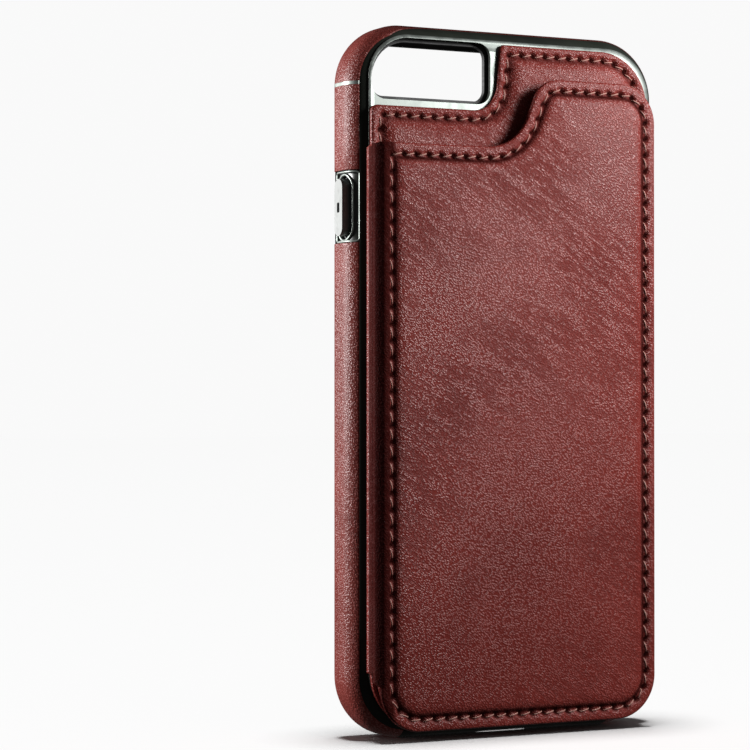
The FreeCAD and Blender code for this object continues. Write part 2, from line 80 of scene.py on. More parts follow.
class Outline:
    """Closed outline in the XZ plane, anticlockwise as the wallet is seen from the front.

    corners is a list of (x, z, radius) in millimetres. Every ring of one outline has the same
    number of points, so rings at different insets join up into an edge.
    """

    SHARPEST = 1.5

    def __init__(self, corners, step):
        self.corners = [np.array(corner[:2], float) for corner in corners]
        self.radii = [corner[2] for corner in corners]
        self.count = len(corners)
        self.turns = []
        for index in range(self.count):
            before, after = self.way(index - 1), self.way(index)
            cross = before[0] * after[1] - before[1] * after[0]
            self.turns.append(math.atan2(cross, float(before @ after)))
        self.arc_points = [max(5, int(abs(turn) * radius / step) + 2)
                           for turn, radius in zip(self.turns, self.radii)]
        self.line_points = []
        for index in range(self.count):
            gap = self.corners[(index + 1) % self.count] - self.corners[index]
            reach = np.linalg.norm(gap) - self.tangent(index) - self.tangent(index + 1)
            self.line_points.append(max(1, int(reach / step)))

    def way(self, index):
        """Direction of the side that leaves a corner."""
        gap = self.corners[(index + 1) % self.count] - self.corners[index % self.count]
        return gap / np.linalg.norm(gap)

    def tangent(self, index):
        """How much of each side a rounded corner takes up."""
        index %= self.count
        return self.radii[index] * math.tan(abs(self.turns[index]) / 2)

    def moved_corner(self, index, inset):
        """Where the corner is after both its sides have moved inwards."""
        before, after = self.way(index - 1), self.way(index)
        start = self.corners[index] + np.array([-before[1], before[0]]) * inset
        other = self.corners[index] + np.array([-after[1], after[0]]) * inset
        across = before[0] * after[1] - before[1] * after[0]
        gap = other - start
        return start + before * (gap[0] * after[1] - gap[1] * after[0]) / across

    def arc(self, index, inset):
        """Points round a corner at an inset; an inner corner opens up as it moves in."""
        turn, radius = self.turns[index], self.radii[index]
        least = min(radius, self.SHARPEST)
        radius = max(radius - inset, least) if turn > 0 else radius + inset
        way = self.way(index - 1)
        start = self.moved_corner(index, inset) - way * radius * math.tan(abs(turn) / 2)
        centre = start + np.array([-way[1], way[0]]) * radius * math.copysign(1.0, turn)
        first = math.atan2(start[1] - centre[1], start[0] - centre[0])
        angles = first + turn * np.linspace(0, 1, self.arc_points[index])
        return centre + radius * np.stack([np.cos(angles), np.sin(angles)], 1)

    def ring(self, inset):
        """Points of the outline moved inwards by inset, and the side each one belongs to."""
        points, sides = [], []
        arcs = [self.arc(index, inset) for index in range(self.count)]
        for index, arc in enumerate(arcs):
            end, following = arc[-1], arcs[(index + 1) % self.count][0]
            shares = np.linspace(0, 1, self.line_points[index] + 1)[1:-1]
            points.extend(arc)
            points.extend(end + (following - end) * share for share in shares)
            sides.extend([index] * (len(arc) + len(shares)))
        return np.array(points), np.array(sides)

    def closed(self, inset):
        """The ring with its first point repeated at its end."""
        points = self.ring(inset)[0]
        return np.vstack([points, points[:1]])


def distance_to(points, line):
    """Distance from each point to the nearest point of a finely divided line."""
    result = np.empty(len(points))
    for start in range(0, len(points), 400):
        gaps = points[start:start + 400, None, :] - line[None, :, :]
        result[start:start + 400] = np.sqrt((gaps ** 2).sum(2).min(1))
    return result


def fill_inside(ring, spacing):
    """Points in staggered rows inside a ring, and the triangles that join them to it."""
    least_gap = spacing * 0.6
    low, high = ring.min(0), ring.max(0)
    rows = []
    for row, z in enumerate(np.arange(low[1] + spacing, high[1], spacing)):
        first = low[0] + spacing * (1.5 if row % 2 else 1.0)
        rows.extend((x, z) for x in np.arange(first, high[0], spacing))
    grid = np.array(rows)
    crossings = np.zeros(len(grid), int)
    for start, end in zip(ring, np.roll(ring, -1, axis=0)):
        straddles = (start[1] > grid[:, 1]) != (end[1] > grid[:, 1])
        if straddles.any():
            share = (grid[:, 1] - start[1]) / (end[1] - start[1])
            crossings += straddles & (grid[:, 0] < start[0] + share * (end[0] - start[0]))
    grid = grid[crossings % 2 == 1]
    grid = grid[distance_to(grid, ring) > least_gap]
    count = len(ring)
    verts = [Vector(point) for point in np.vstack([ring, grid])]
    edges = [(index, (index + 1) % count) for index in range(count)]
    found = delaunay_2d_cdt(verts, edges, [], 1, 1e-5)
    return np.array([tuple(point) for point in found[0]]), found[2]


def walk(line, pitch_x, pitch_z, phase=0.0):
    """Marks (x, z, way_x, way_z) along a line, closer together where pitch_x is the smaller."""
    gaps = np.diff(line, axis=0)
    lengths = np.hypot(gaps[:, 0], gaps[:, 1])
    keep = lengths > 1e-9
    gaps, lengths, starts = gaps[keep], lengths[keep], line[:-1][keep]
    strides = np.hypot(gaps[:, 0] / pitch_x, gaps[:, 1] / pitch_z)
    reach = np.concatenate([[0], np.cumsum(strides)])
    total = max(1, round(reach[-1]))
    marks = []
    for place in (np.arange(total) + phase) * reach[-1] / total:
        index = min(np.searchsorted(reach, place, side="right") - 1, len(gaps) - 1)
        spot = starts[index] + gaps[index] * (place - reach[index]) / strides[index]
        way = gaps[index] / lengths[index]
        marks.append((spot[0], spot[1], way[0], way[1]))
    return marks


def turned(marks, angle):
    """The same marks with their directions turned by an angle in degrees."""
    cosine, sine = math.cos(math.radians(angle)), math.sin(math.radians(angle))
    return [(x, z, way_x * cosine - way_z * sine, way_x * sine + way_z * cosine)
            for x, z, way_x, way_z in marks]


# ------------------------------------------------------------------ mesh helpers


def new_piece(name, verts, faces, body=None, dark=None):
    """Mesh object from millimetre points; dark says how much painted shade each point gets."""
    mesh = bpy.data.meshes.new(name)
    mesh.from_pydata([tuple(point) for point in np.asarray(verts) * MM], [], faces)
    if dark is not None:
        layer = mesh.attributes.new("dark", "FLOAT", "POINT")
        layer.data.foreach_set("value", np.asarray(dark, np.float32))
    work = bmesh.new()
    work.from_mesh(mesh)
    bmesh.ops.remove_doubles(work, verts=work.verts, dist=2e-7)
    bmesh.ops.recalc_face_normals(work, faces=work.faces)
    work.to_mesh(mesh)
    work.free()
    mesh.shade_smooth()
    piece = bpy.data.objects.new(name, mesh)
    bpy.context.scene.collection.objects.link(piece)
    if body:
        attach(piece, body)
    return piece


def loop_faces(first, second, count):
    """Quads between two closed loops of count points that start at these numbers."""
    return [(first + k, first + (k + 1) % count, second + (k + 1) % count, second + k)
            for k in range(count)]


def resample(profile, count):
    """A polyline with count points evenly spaced along it."""
    points = np.array(profile, float)
    reach = np.concatenate([[0], np.cumsum(np.hypot(*np.diff(points, axis=0).T))])
    places = np.linspace(0, reach[-1], count)
    return np.stack([np.interp(places, reach, points[:, axis]) for axis in (0, 1)], 1)


def ripple(x, z, scale, seed):
    """Smooth noise between about -1 and 1 at each place, for slow unevenness."""
    return np.array([noise.noise(Vector((a / scale, seed, b / scale))) for a, b in zip(x, z)])


class Fold:
    """Stretch of an outline's side that runs on into the spine instead of ending in an edge.

    places is the strip's cross-section as (x, y), from the panel's back to its front.
    """

    FADE = 0.4

    def __init__(self, side, low, high, places):
        self.side, self.low, self.high, self.places = side, low, high, places

    def share(self, points, sides):
        """How far each point of a ring follows the fold, from 0 to 1."""
        rise = smooth(points[:, 1], self.low, self.low + self.FADE)
        fall = 1 - smooth(points[:, 1], self.high - self.FADE, self.high)
        return rise * fall * (sides == self.side)


class Panel:
    """Closed leather panel: an edge section swept round an outline, and the face inside it.

    edge and face are (inset, y) points from the panel's back, round its edge and over its
    border, and level(x, z, y) moves them in depth. insets is how far inside the outline each
    point lies, and dark is how much painted shade it gets.
    """

    EDGE_RINGS = 22
    CROWN_REACH = 5.0
    BACK_SPACING = 6.0
    BACK_INSET = -1.0

    def __init__(self, outline, edge, face, level, crown=0.0, spacing=1.0, fold=None):
        rings = list(map(tuple, resample(edge, self.EDGE_RINGS))) + list(face)
        fold_rings = resample(fold.places, self.EDGE_RINGS) if fold else None
        verts, insets, self.faces = [], [], []
        for order, (inset, y) in enumerate(rings):
            points, sides = outline.ring(inset)
            x, z = points.T
            depth = level(x, z, np.full(len(x), y))
            if fold and order < self.EDGE_RINGS:
                share = fold.share(points, sides)
                x = x + (fold_rings[order][0] - x) * share
                depth = depth + (fold_rings[order][1] - depth) * share
            verts.append(np.stack([x, depth, z], 1))
            insets.append(np.full(len(x), inset))
        count = len(verts[0])
        for order in range(len(rings) - 1):
            self.faces += loop_faces(order * count, (order + 1) * count, count)
        # The crowned face inside the last ring.
        inset, y = rings[-1]
        back_inset, back_y = edge[0]
        self.side = 1.0 if y > back_y else -1.0
        ring = outline.ring(inset)[0]
        flat, triangles = fill_inside(ring, spacing)
        x, z = flat.T
        away = distance_to(flat, ring)
        rise = self.side * crown * (1 - np.exp(-away / self.CROWN_REACH))
        self.add_triangles(triangles, count * len(rings))
        verts.append(np.stack([x, level(x, z, np.full(len(x), y)) + rise, z], 1))
        insets.append(inset + away)
        # The plain back inside the first ring.
        back, triangles = fill_inside(outline.ring(back_inset)[0], self.BACK_SPACING)
        self.add_triangles(triangles, count * len(rings) + len(flat))
        verts.append(np.stack([back[:, 0], np.full(len(back), back_y), back[:, 1]], 1))
        insets.append(np.full(len(back), self.BACK_INSET))
        self.verts = np.vstack(verts)
        self.insets = np.concatenate(insets)
        self.dark = np.zeros(len(self.verts))

    def add_triangles(self, triangles, offset):
        """Faces of one filled ring, whose points are numbered from offset."""
        self.faces += [tuple(offset + corner for corner in triangle) for triangle in triangles]

    def shade(self, low, middle, high, amount):
        """Paint shade onto the band of insets round middle."""
        band = smooth(self.insets, low, middle) * (1 - smooth(self.insets, middle, high))
        self.dark = np.maximum(self.dark, band * amount)

    def press(self, marks, depth, along, across):
        """Push in an oval dent at each mark, along the mark's direction, and paint shade into it.
        """
        for x, z, way_x, way_z in marks:
            near = np.flatnonzero((abs(self.verts[:, 0] - x) < 3 * along)
                                  & (abs(self.verts[:, 2] - z) < 3 * along) & (self.insets > 0))
            dx, dz = self.verts[near, 0] - x, self.verts[near, 2] - z
            long_way = (dx * way_x + dz * way_z) / along
            cross_way = (dz * way_x - dx * way_z) / across
            share = np.exp(-(long_way ** 2 + cross_way ** 2) ** 1.5)
            self.verts[near, 1] -= self.side * depth * share
            self.dark[near] = np.maximum(self.dark[near], share)

    def piece(self, name, body=None):
        return new_piece(name, self.verts, self.faces, body, self.dark)


def dress(piece, material):
    """Give a piece its material."""
    piece.data.materials.append(material)


def threads(name, marks, radius, level, side, body):
    """Short arched threads, one at each mark, whose ends go down into the leather.

    level is the y of the leather they lie on; side is -1 where it faces -Y. The crest lies
    lift radii above it, and the ends dip below the crest by dip radii and are a little thinner.
    """
    verts, faces = [], []
    rings, corners = 9, 8
    lift, dip, end_thickness, roundness = 0.5, 3.0, 0.8, 0.6
    for x, z, way_x, way_z in marks:
        start = len(verts)
        for share in np.linspace(-1, 1, rings):
            arch = max(0.0, math.cos(share * math.pi / 2)) ** roundness
            centre_x = x + way_x * share * THREAD_LENGTH / 2
            centre_z = z + way_z * share * THREAD_LENGTH / 2
            y = level + side * radius * (lift - (1 - arch) * dip)
            thick = radius * (end_thickness + (1 - end_thickness) * arch)
            for angle in np.linspace(0, 2 * math.pi, corners, endpoint=False):
                offset = thick * math.cos(angle)
                verts.append((centre_x - way_z * offset, y + thick * math.sin(angle),
                              centre_z + way_x * offset))
        for ring in range(rings - 1):
            faces += loop_faces(start + ring * corners, start + (ring + 1) * corners, corners)
        faces.append(tuple(range(start, start + corners)))
        faces.append(tuple(range(start + (rings - 1) * corners, start + rings * corners)))
    dress(new_piece(name, verts, faces, body), THREAD)


# ------------------------------------------------------------------ materials


class Paint:
    """Adds and links the nodes of one material. Its scales are per metre."""

    def __init__(self, name):
        self.material = bpy.data.materials.new(name)
        self.material.use_nodes = True
        self.tree = self.material.node_tree
        self.shader = self.tree.nodes["Principled BSDF"]
        self.place = self.add("ShaderNodeTexCoord").outputs["Object"]

    def add(self, kind, inputs=None, **settings):
        node = self.tree.nodes.new(kind)
        for key, value in settings.items():
            setattr(node, key, value)
        for key, value in (inputs or {}).items():
            self.feed(node.inputs[key], value)
        return node

    def feed(self, socket, value):
        if isinstance(value, bpy.types.NodeSocket):
            self.tree.links.new(value, socket)
        else:
            socket.default_value = value

    def math(self, operation, first, second=0.0, clamp=False):
        node = self.add("ShaderNodeMath", {0: first, 1: second}, operation=operation)
        node.use_clamp = clamp
        return node.outputs[0]

    def noise(self, scale, detail=3.0, roughness=0.55, place=None):
        node = self.add("ShaderNodeTexNoise", {
            "Vector": place or self.place, "Scale": scale, "Detail": detail,
            "Roughness": roughness})
        return node.outputs["Fac"]

    def stretched(self, scale, turn):
        """Object coordinates scaled unevenly and turned about the Y axis."""
        node = self.add("ShaderNodeMapping", {
            "Vector": self.place, "Scale": [1 / share for share in scale],
            "Rotation": (0, math.radians(turn), 0)}, vector_type="TEXTURE")
        return node.outputs["Vector"]

    def ramp(self, value, low, high, to_low=0.0, to_high=1.0):
        node = self.add("ShaderNodeMapRange", {
            "Value": value, "From Min": low, "From Max": high, "To Min": to_low,
            "To Max": to_high}, interpolation_type="SMOOTHSTEP")
        return node.outputs["Result"]

    def mix(self, share, first, second):
        node = self.add("ShaderNodeMix", data_type="RGBA")
        self.feed(node.inputs["Factor"], share)
        self.feed(node.inputs[6], first)
        self.feed(node.inputs[7], second)
        return node.outputs[2]

    def painted_shade(self):
        """How much painted shade the mesh gives each point."""
        return self.add("ShaderNodeAttribute", attribute_name="dark").outputs["Fac"]

    def blended(self, first, first_share, second, second_share):
        """Weighted sum of two heights."""
        return self.math("ADD", self.math("MULTIPLY", first, first_share),
                         self.math("MULTIPLY", second, second_share))

    def bump(self, height, strength, distance):
        inputs = {"Height": height, "Strength": strength, "Distance": distance}
        return self.add("ShaderNodeBump", inputs).outputs["Normal"]

    def set(self, **values):
        for key, value in values.items():
            self.feed(self.shader.inputs[key.replace("_", " ")], value)


PEBBLE_SCALES, PEBBLE_TURN = (1800.0, 2900.0, 3500.0), 38.0
PEBBLE_BEND_SCALE, PEBBLE_BEND, PEBBLE_BLUR = 500.0, 0.7, 0.3
CREASE_SCALES, CREASE_TURN, CREASE_WIDTH = (75.0, 300.0, 520.0), 33.0, 0.045
GRAIN_SCALE, WORN_SCALE, PATCH_SCALE = 3400.0, 30.0, 38.0
PEBBLE_SHARE, GRAIN_SHARE, CREASE_SHARE = 0.56, 0.34, 0.45
CREST_SHARE, PATCH_SHARE = 0.72, 0.28
LEATHER_BUMP, LEATHER_RELIEF = 0.78, 0.00019
# Painted shade: its dark tint, its added roughness, its depth on the top strip, and its gloss.
PAINTED_SHADE_TINT, PAINTED_SHADE_ROUGHNESS, PAINTED_SHADE_AT_END = (0.10, 0.08, 0.08), 0.5, 0.75
VALLEY_GLOSS, PAINTED_SHADE_GLOSS = 0.2, 0.1


def leather(name, light, deep, shine, relief, gloss, shade_range=None):
    """Pebbled, lightly creased leather, with painted shade where the mesh says so.

    A range of X, in metres, given last, is where a piece without that mesh data gets painted
    shade: it is plain before the first value, and darkest after the second.
    """
    paint = Paint(name)
    bend = paint.add("ShaderNodeTexNoise", {
        "Vector": paint.place, "Scale": PEBBLE_BEND_SCALE, "Detail": 2.0})
    bent = paint.add("ShaderNodeMixRGB", {
        "Fac": PEBBLE_BEND, "Color1": paint.stretched(PEBBLE_SCALES, PEBBLE_TURN),
        "Color2": bend.outputs["Color"]}, blend_type="ADD")
    pebbles = paint.add("ShaderNodeTexVoronoi", {
        "Vector": bent.outputs[0], "Scale": 1.0, "Randomness": 1.0}, feature="SMOOTH_F1")
    pebbles.inputs["Smoothness"].default_value = PEBBLE_BLUR
    hills = paint.ramp(pebbles.outputs["Distance"], 0.12, 0.72, 1.0, 0.0)
    fine = paint.noise(GRAIN_SCALE, 3.0, 0.65)
    # A crease lies where a long stretched noise passes its middle value.
    creases = paint.noise(1.0, 6.0, 0.68, paint.stretched(CREASE_SCALES, CREASE_TURN))
    folds = paint.ramp(paint.math("ABSOLUTE", paint.math("SUBTRACT", creases, 0.5)),
                       0.0, CREASE_WIDTH)
    worn = paint.ramp(paint.noise(WORN_SCALE, 2.0), 0.42, 0.62)
    sunk = paint.math("MULTIPLY", paint.math("SUBTRACT", 1.0, folds), worn)
    height = paint.math("SUBTRACT", paint.blended(hills, PEBBLE_SHARE, fine, GRAIN_SHARE),
                        paint.math("MULTIPLY", sunk, CREASE_SHARE))
    # Painted shade from the mesh, and along X on a piece given a range for it.
    dark = paint.painted_shade()
    if shade_range:
        along = paint.add("ShaderNodeSeparateXYZ", {"Vector": paint.place}).outputs["X"]
        dark = paint.math("ADD", dark, paint.ramp(along, *shade_range, 0.0, PAINTED_SHADE_AT_END),
                          clamp=True)
    patch = paint.ramp(paint.noise(PATCH_SCALE, 4.0, 0.6), 0.3, 0.7)
    crest = paint.ramp(height, 0.30, 0.80)
    tone = paint.blended(crest, CREST_SHARE, patch, PATCH_SHARE)
    colour = paint.mix(tone, (*deep, 1), (*light, 1))
    # Painted shade: the colour runs to a dark tint of the deep tone.
    shaded_colour = [part * tint for part, tint in zip(deep, PAINTED_SHADE_TINT)]
    colour = paint.mix(dark, colour, (*shaded_colour, 1))
    rough = paint.ramp(fine, 0.3, 0.7, shine - 0.06, shine + 0.1)
    rough = paint.math("ADD", rough, paint.math("MULTIPLY", dark, PAINTED_SHADE_ROUGHNESS), clamp=True)
    paint.set(Base_Color=colour, Roughness=rough,
              Normal=paint.bump(height, LEATHER_BUMP * relief, LEATHER_RELIEF))
    paint.feed(paint.shader.inputs["Specular IOR Level"],
               paint.math("MULTIPLY", paint.ramp(height, 0.15, 0.75, VALLEY_GLOSS * gloss, gloss),
                          paint.ramp(dark, 0.0, 1.0, 1.0, PAINTED_SHADE_GLOSS)))
    return paint.material


def thread_paint(twist_scale=1700.0, twist_turn=-38.0):
    """Twisted tan thread."""
    paint = Paint("thread")
    twist = paint.add("ShaderNodeTexWave", {
        "Vector": paint.stretched((1.0, 1.0, 1.0), twist_turn), "Scale": twist_scale,
        "Distortion": 1.5, "Detail": 1.0})
    height = twist.outputs["Fac"]
    colour = paint.mix(height, (0.20, 0.072, 0.056, 1), (0.52, 0.27, 0.22, 1))
    paint.set(Base_Color=colour, Roughness=paint.ramp(height, 0, 1, 0.42, 0.6),
              Normal=paint.bump(height, 0.5, 0.00008))
    return paint.material


def moulded(name, low, high, shine, grain=2600.0, relief=0.25, gloss=0.5):
    """Moulded plastic or rubber with a fine matt texture and faint handling marks."""
    paint = Paint(name)
    texture = paint.noise(grain, 3.0, 0.6)
    marks = paint.noise(1.0, 3.0, 0.5, paint.stretched((60.0, 60.0, 900.0), 20.0))
    wear = paint.noise(45.0, 4.0, 0.6)
    colour = paint.mix(paint.ramp(wear, 0.3, 0.7), (*low, 1), (*high, 1))
    rough = paint.math("ADD", paint.ramp(marks, 0.35, 0.65, shine - 0.05, shine + 0.07),
                       paint.math("MULTIPLY", wear, 0.06))
    paint.set(Base_Color=colour, Roughness=rough, Normal=paint.bump(texture, relief, 0.00006))
    paint.shader.inputs["Specular IOR Level"].default_value = gloss
    return paint.material


def plated(name, low, high, shine):
    """Satin plated metal with a fine even grain and slow smears."""
    paint = Paint(name)
    grain = paint.noise(1.0, 3.0, 0.6, paint.stretched((400.0, 400.0, 400.0), 0.0))
    smears = paint.noise(70.0, 3.0, 0.5)
    colour = paint.mix(smears, (*low, 1), (*high, 1))
    rough = paint.ramp(grain, 0.3, 0.7, shine - 0.06, shine + 0.1)
    paint.set(Base_Color=colour, Roughness=rough, Normal=paint.bump(grain, 0.08, 0.00003))
    paint.shader.inputs["Metallic"].default_value = 0.8
    return paint.material


def woven(name, low, high, threads_scale=950.0):
    """Fine plain weave for the lining inside the wallet."""
    paint = Paint(name)
    across, along = (paint.add("ShaderNodeTexWave", {
        "Vector": paint.place, "Scale": threads_scale, "Distortion": 0.6, "Detail": 2.0},
        bands_direction=direction) for direction in "XZ")
    height = paint.math("MULTIPLY", across.outputs["Fac"], along.outputs["Fac"])
    # Painted shade from the mesh darkens the cloth in its stitch holes.
    dark = paint.painted_shade()
    patch = paint.noise(60.0, 4.0, 0.6)
    tone = paint.blended(height, 0.6, patch, 0.4)
    colour = paint.mix(tone, (*low, 1), (*high, 1))
    colour = paint.mix(dark, colour, (low[0] * 0.2, low[1] * 0.2, low[2] * 0.2, 1))
    paint.set(Base_Color=colour, Roughness=paint.ramp(patch, 0.3, 0.7, 0.62, 0.8),
              Normal=paint.bump(height, 0.45, 0.00010))
    paint.shader.inputs["Sheen Weight"].default_value = 0.15
    return paint.material


LEATHER = leather("leather", (0.265, 0.041, 0.0325), (0.128, 0.0165, 0.0130), 0.34, 0.9, 0.55)
STRIP_LIGHT, STRIP_DEEP = (0.265, 0.050, 0.041), (0.120, 0.0190, 0.0150)
STRIP_LEATHER = leather("strip_leather", STRIP_LIGHT, STRIP_DEEP, 0.38, 0.7, 0.55)
# The top strip gets painted shade over all but its left end.
TOP_LEATHER = leather("top_strip_leather", STRIP_LIGHT, STRIP_DEEP, 0.38, 0.7, 0.55,
                      shade_range=(-0.030, -0.021))
THREAD = thread_paint()
LINING = woven("lining_cloth", (0.055, 0.017, 0.013), (0.13, 0.045, 0.034))
FRAME_BLACK = moulded("frame_black", (0.008, 0.0095, 0.0075), (0.014, 0.017, 0.0125), 0.58,
                      gloss=0.15)
TRAY_BLACK = moulded("tray_black", (0.011, 0.011, 0.011), (0.019, 0.019, 0.019), 0.6, 1800.0, 0.4)
PLATE_GREY = moulded("plate_grey", (0.012, 0.014, 0.012), (0.024, 0.028, 0.024), 0.3)
KEY_GREY = plated("key_silver", (0.13, 0.133, 0.13), (0.21, 0.213, 0.21), 0.46)
TRIM = plated("trim_silver", (0.17, 0.19, 0.175), (0.27, 0.295, 0.275), 0.40)
SNAP = plated("snap_metal", (0.42, 0.40, 0.36), (0.62, 0.60, 0.55), 0.26)
INK = moulded("key_mark", (0.002, 0.002, 0.002), (0.004, 0.004, 0.004), 0.9, gloss=0.1)

# ------------------------------------------------------------------ flap

STITCH_PITCH_X, STITCH_PITCH_Z = 2.78, 3.33
THREAD_SLANT, HOLE_SLANT = 15.0, -36.0
THREAD_LENGTH, THREAD_RADIUS = 2.2, 0.15
HOLE_DEPTH, HOLE_ALONG, HOLE_ACROSS = 0.5, 0.88, 0.58
STITCH_INSET = 2.3


def stitch_line(line, phase=0.0):
    """Thread marks along a line, and the holes midway between them."""
    marks = walk(line, STITCH_PITCH_X, STITCH_PITCH_Z, phase)
    holes = walk(line, STITCH_PITCH_X, STITCH_PITCH_Z, phase + 0.5)
    return turned(marks, THREAD_SLANT), turned(holes, HOLE_SLANT)


# The flap's upper edge steps down towards the spine, from STEP_RIGHT_X to STEP_LEFT_X.
SPINE_TOP = FLAP_STEP_Z = 118.3
STEP_LEFT_X, STEP_RIGHT_X = -1.4, 4.3
SPINE_FOOT = SPINE_LOW[2] + 0.3
FLAP_EDGE_X = FLAP_LOW[0] - 0.3
FINE_STEP = 0.34
flap_outline = Outline([
    (FLAP_EDGE_X, FLAP_LOW[2], 8.8), (FLAP_HIGH[0], FLAP_LOW[2], 9.0),
    (FLAP_HIGH[0], FLAP_HIGH[2], 8.0), (STEP_RIGHT_X, FLAP_HIGH[2], 6.0),
    (STEP_LEFT_X, FLAP_STEP_Z, 10.0), (FLAP_EDGE_X, FLAP_STEP_Z, 0.5)], FINE_STEP)
SPINE_SIDE = 5
FLAP_BACK = -6.71
flap_edge = [
    (0.70, FLAP_BACK), (0.30, -6.70), (0.08, -6.76), (0.0, -6.95), (0.0, -7.25), (0.10, -7.5),
    (0.28, -7.64), (0.55, -7.70)]
flap_border = [
    (0.85, -7.72), (1.2, -7.73), (1.5, -7.72), (1.7, -7.70), (1.9, -7.66), (2.05, -7.60),
    (2.2, -7.54), (2.35, -7.49), (2.55, -7.43), (2.8, -7.39), (3.0, -7.40), (3.2, -7.50),
    (3.4, -7.63), (3.65, -7.77), (3.95, -7.90), (4.35, -8.01), (4.9, -8.08), (5.6, -8.12)]
# The flap's leather runs on round the spine to the middle of its width.
flap_fold = Fold(SPINE_SIDE, SPINE_FOOT, SPINE_TOP, [
    (-31.5, FLAP_BACK), (-31.85, -6.5), (-32.1, -6.0), (-32.25, -5.4), (-32.35, -5.16),
    (-32.65, -5.08), (-32.92, -5.14), (-32.93, -5.5), (-32.90, -6.05), (-32.76, -6.55),
    (-32.45, -7.0), (-32.05, -7.38), (-31.65, -7.70)])


def flap_level(x, z, y):
    """Slow unevenness in the leather, which fades out at the edge."""
    height, spread, seed = 0.03, 7.0, 9.7
    return y - height * ripple(x, z, spread, seed) * smooth(-y, 7.0, 7.5)


flap = Panel(flap_outline, flap_edge, flap_border, flap_level, crown=0.07, spacing=0.9,
             fold=flap_fold)
# Painted shade in the groove just inside the stitches.
flap.shade(2.35, 2.95, 4.0, 0.9)
flap_marks, flap_holes = stitch_line(flap_outline.closed(STITCH_INSET))
# The stitch holes are pressed in and get painted shade.
flap.press(flap_holes, HOLE_DEPTH, HOLE_ALONG, HOLE_ACROSS)
# The spine's own half and the border beside it get painted shade, but not the spine's ridge.
leftwards = -flap.verts[:, 0]
on_spine = (smooth(leftwards, 31.0, 31.4) * (1 - smooth(leftwards, 32.87, 32.93))
            * (flap.verts[:, 2] > SPINE_FOOT - 0.3))
left_border = smooth(leftwards, 28.6, 29.8) * (flap.insets < 2.0)
flap.dark = np.maximum(flap.dark, np.maximum(0.95 * on_spine, 0.85 * left_border))


flap_cover = flap.piece("flap_cover")
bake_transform(flap_cover)
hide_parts("flap_leather", "flap_padding", "flap_board", "spine_strip")
dress(flap_cover, LEATHER)
FLAP_STITCH_LEVEL, BASE_STITCH_LEVEL = -7.5, -3.27
threads("flap_thread", flap_marks, THREAD_RADIUS, FLAP_STITCH_LEVEL, -1, "flap")

# ------------------------------------------------------------------ wallet base

BASE_STEP_Z = 126.0
BASE_BACK = -2.54
BASE_STITCH_INSET = 1.95
PRESSED_FLAT_Z, STANDS_UP_Z = 109.0, 114.5
base_outline = Outline([
    (BASE_LOW[0], BASE_LOW[2], 11.0), (BASE_HIGH[0], BASE_LOW[2], 11.0),
    (BASE_HIGH[0], BASE_HIGH[2], 11.0), (-2.9, BASE_HIGH[2], 1.0),
    (-4.0, BASE_STEP_Z, 5.5), (BASE_LOW[0], BASE_STEP_Z, 1.4)], FINE_STEP)
base_edge = [
    (0.50, BASE_BACK), (0.12, -2.56), (0.0, -2.75), (0.0, -3.1), (0.10, -3.38), (0.32, -3.52),
    (0.62, -3.57)]
base_border = [
    (0.85, -3.56), (1.1, -3.52), (1.3, -3.46), (1.5, -3.39), (1.7, -3.33), (1.9, -3.28),
    (2.1, -3.25), (2.3, -3.24), (2.5, -3.27), (2.75, -3.38), (3.05, -3.56), (3.4, -3.74),
    (3.85, -3.92), (4.4, -4.06), (5.1, -4.15), (5.9, -4.19)]
base_fold = Fold(SPINE_SIDE, SPINE_FOOT, SPINE_TOP - 0.4, [
    (-31.7, BASE_BACK), (-32.3, -2.5), (-32.75, -2.58), (-33.02, -2.85), (-33.08, -3.2),
    (-32.98, -3.55), (-32.96, -4.2), (-32.92, -4.8), (-32.87, -5.2), (-32.6, -5.27),
    (-32.35, -5.15), (-32.25, -4.5), (-32.2, -3.95), (-32.0, -3.6), (-31.58, -3.46)])


def base_level(x, z, y):
    """The padding stands up above the pockets and is pressed flat behind them."""
    free = smooth(z, PRESSED_FLAT_Z, STANDS_UP_Z)
    flat = np.maximum(y, -3.37)
    height, spread, seed = 0.06, 8.0, 5.3
    wave = height * ripple(x, z, spread, seed) * smooth(-y, 3.5, 4.0)
    return flat + (y - flat - wave) * free


base = Panel(base_outline, base_edge, base_border, base_level, crown=0.05, fold=base_fold)
# Painted shade in the groove just inside the stitches.
base.shade(1.9, 2.45, 3.6, 0.6)
base_marks, base_holes = stitch_line(base_outline.closed(BASE_STITCH_INSET), 0.2)
# The stitch holes are pressed in and get painted shade.
base.press(base_holes, HOLE_DEPTH, HOLE_ALONG, HOLE_ACROSS)
# The base's half of the spine gets painted shade.
on_spine = smooth(-base.verts[:, 1], 3.5, 3.9) * (base.verts[:, 0] < -32.1)
base.dark = np.maximum(base.dark, 0.8 * on_spine)
base_cover = base.piece("base_cover")
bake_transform(base_cover)
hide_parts("base_leather", "base_board")
dress(base_cover, LEATHER)
open_marks = [mark for mark in base_marks if mark[1] > PRESSED_FLAT_Z]
threads("base_thread", open_marks, THREAD_RADIUS, BASE_STITCH_LEVEL, -1, "case")

# ------------------------------------------------------------------ pockets


def thin_edge(back, front):
    """Rounded edge of a thin sheet, from its back to its front."""
    mid = (back + front) / 2
    return [(0.30, back), (0.09, back + (mid - back) * 0.25), (0.0, mid),
            (0.09, front + (mid - front) * 0.25), (0.30, front)]


HEM_DEPTH, HEM_THICKNESS = 5.0, 0.10
HEM_STITCH, SIDE_STITCH = 1.7, 1.5
POCKET_HOLE, LINING_HOLE = (0.22, 0.55, 0.34), (0.16, 0.5, 0.3)


